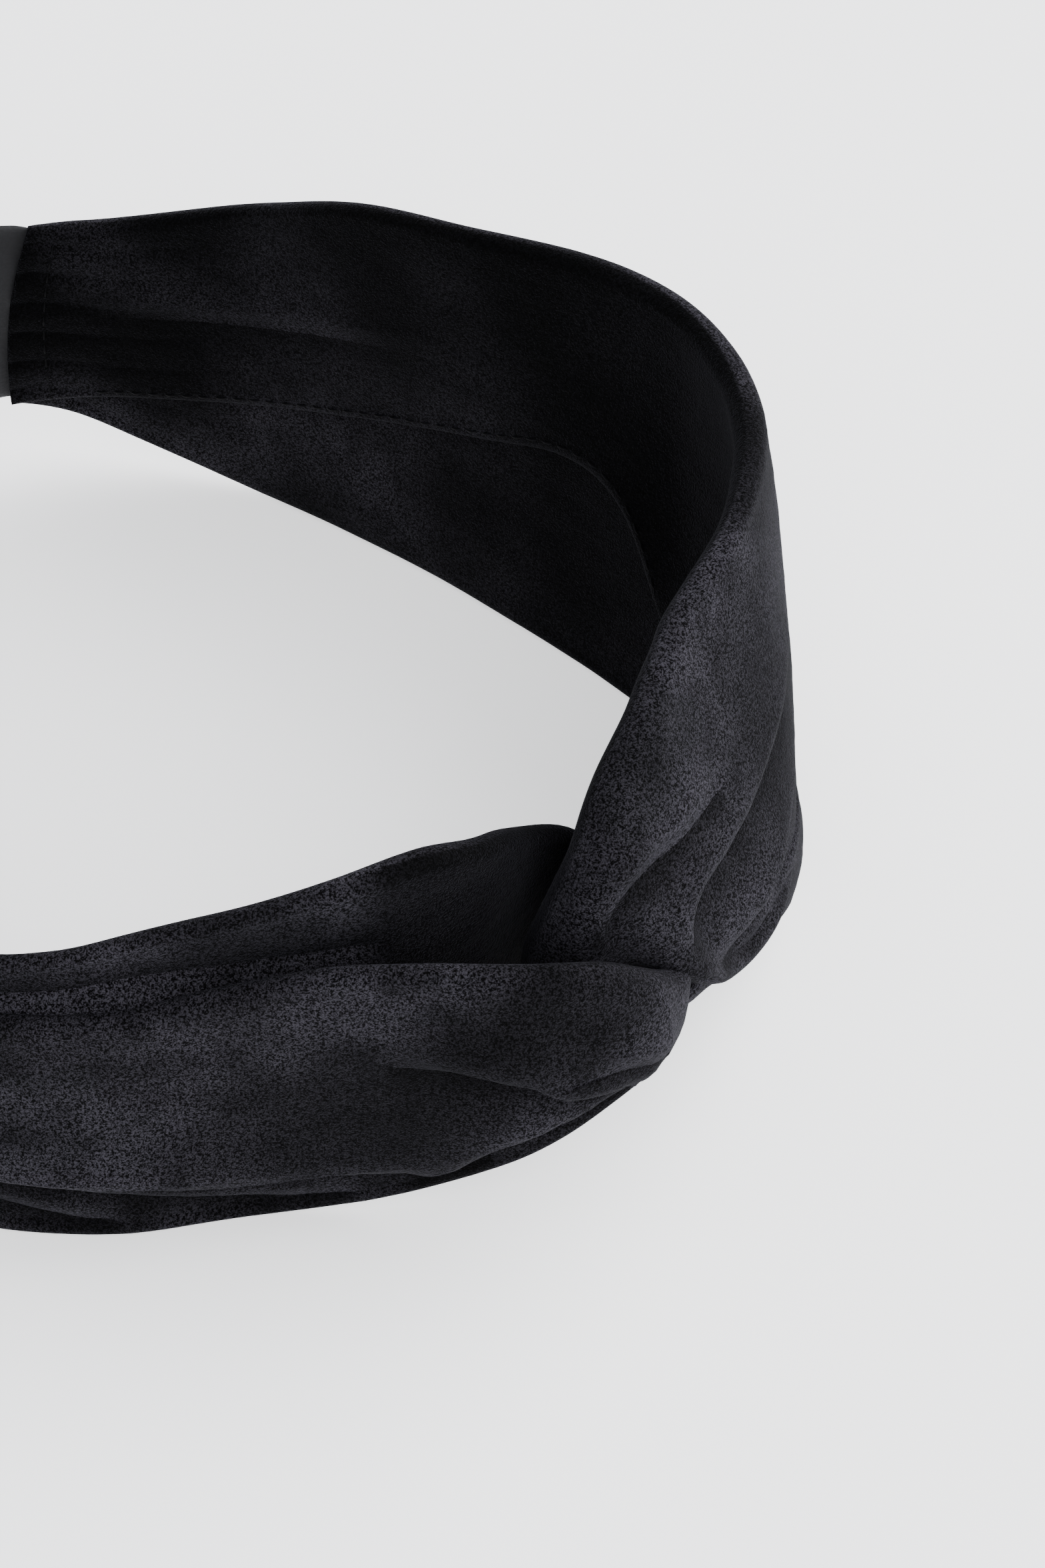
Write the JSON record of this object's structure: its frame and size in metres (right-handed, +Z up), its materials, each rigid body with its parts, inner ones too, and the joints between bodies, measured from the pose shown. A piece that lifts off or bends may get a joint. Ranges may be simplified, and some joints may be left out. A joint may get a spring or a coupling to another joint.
{
  "type": "velvet twist headband",
  "caption": "Wide soft velvet headband with a twisted front knot and a covered elastic section at the back.",
  "frame": {"origin": "on the ground under the middle of the loop", "axes": "+Z up with the band standing on its lower edge, -Y towards the twist, +Y towards the elastic"},
  "size_m": [0.1599, 0.1935, 0.0803],
  "materials": {
    "velvet_right": "short cut-pile velvet, near black with a cool sheen",
    "velvet_left": "short cut-pile velvet, near black with a cool sheen",
    "casing_knit": "smooth dark grey stretch knit",
    "elastic_webbing": "woven elastic webbing",
    "thread": "black sewing thread"
  },
  "bodies": {
    "right_half": {"right_velvet_strip": "velvet_right", "right_join_thread": "thread", "right_seam_thread": "thread", "elastic_casing": "casing_knit", "elastic": "elastic_webbing"},
    "left_half": {"left_velvet_strip": "velvet_left", "left_join_thread": "thread", "left_seam_thread": "thread"}
  },
  "joints": [
    {"name": "stretch_open", "type": "hinge", "parent": "right_half", "child": "left_half", "pos_m": [0.01, -0.081, 0.035], "axis": [0, 0, 1], "range_deg": [0, 24], "stiffness_Nm_per_rad": 1.3, "deforming": ["elastic_casing", "elastic"]}
  ]
}
